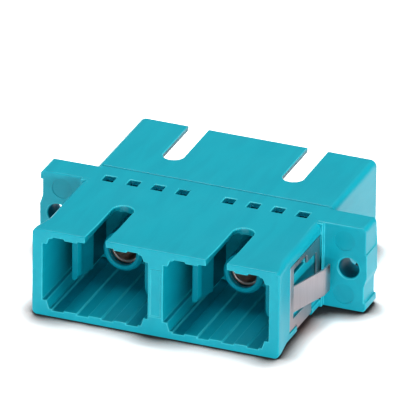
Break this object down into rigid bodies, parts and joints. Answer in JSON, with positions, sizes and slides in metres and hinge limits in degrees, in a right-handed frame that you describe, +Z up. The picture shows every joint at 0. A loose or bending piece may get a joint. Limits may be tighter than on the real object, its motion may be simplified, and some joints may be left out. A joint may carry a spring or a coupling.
{
  "type": "fibre optic coupler",
  "caption": "Duplex fibre optic coupler with a flanged moulded housing, latched ports at both ends, split alignment sleeves and a panel spring clip.",
  "frame": {"origin": "mid length, on the centre line between the ports, on the plane the coupler rests on", "axes": "+X along the flange, +Y from the end with the spring clip to the far end, +Z up towards the key slots"},
  "size_m": [0.0346, 0.0274, 0.0093],
  "materials": {
    "housing_plastic": "moulded aqua plastic, fine satin",
    "insert_plastic": "moulded aqua plastic, fine satin",
    "sleeve_bronze": "rolled phosphor bronze, burnished bore",
    "clip_steel": "rolled stainless strip"
  },
  "bodies": {
    "root": {"front_housing": "housing_plastic", "rear_housing": "housing_plastic", "latch_insert_front_left": "insert_plastic", "latch_insert_front_right": "insert_plastic", "latch_insert_rear_left": "insert_plastic", "latch_insert_rear_right": "insert_plastic", "alignment_sleeve_left": "sleeve_bronze", "alignment_sleeve_right": "sleeve_bronze", "spring_clip": "clip_steel"}
  },
  "joints": []
}
